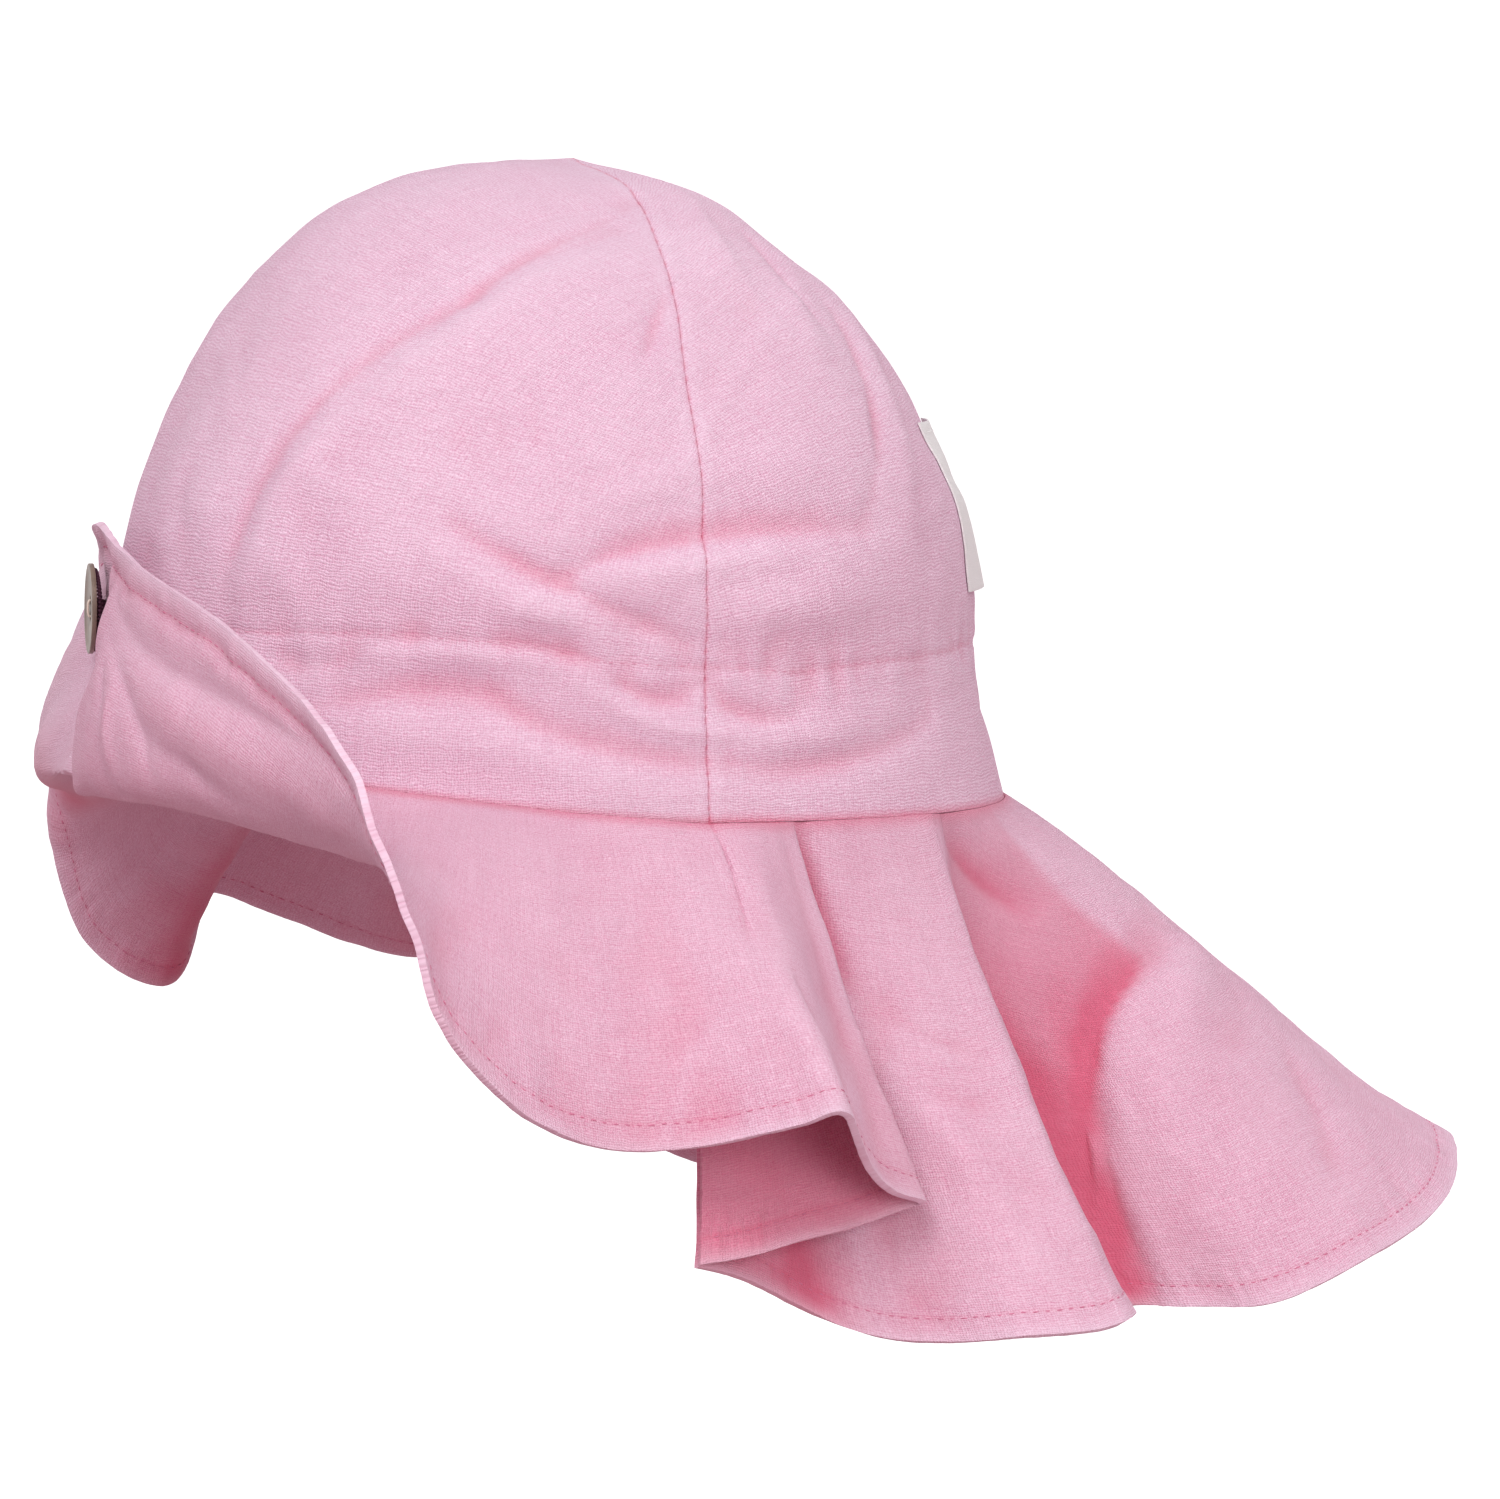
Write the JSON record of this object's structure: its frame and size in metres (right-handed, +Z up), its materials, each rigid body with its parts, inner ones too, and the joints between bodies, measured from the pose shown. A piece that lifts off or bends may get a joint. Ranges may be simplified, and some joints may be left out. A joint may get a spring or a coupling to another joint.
{
  "type": "baby sun hat",
  "caption": "Soft linen baby sun hat in its worn form: two-panel crown, brim turned up and buttoned at the front, pleated at the ears into a long fluted neck flap.",
  "frame": {"origin": "middle of the head opening, level with the band seam under the ear-to-ear seam, where the head carries the hat", "axes": "+Z up through the crown, -Y towards the turned-up front, +X towards the wearer's left"},
  "size_m": [0.2451, 0.2702, 0.2101],
  "materials": {
    "linen": "soft washed pink linen, plain weave",
    "button": "taupe, satin",
    "thread": "dark purple-brown twisted thread",
    "label": "plain white woven tape"
  },
  "bodies": {
    "root": {"crown_front": "linen", "crown_back": "linen", "brim": "linen", "neck_flap": "linen", "button": "button", "button_thread": "thread", "label": "label"}
  },
  "joints": []
}
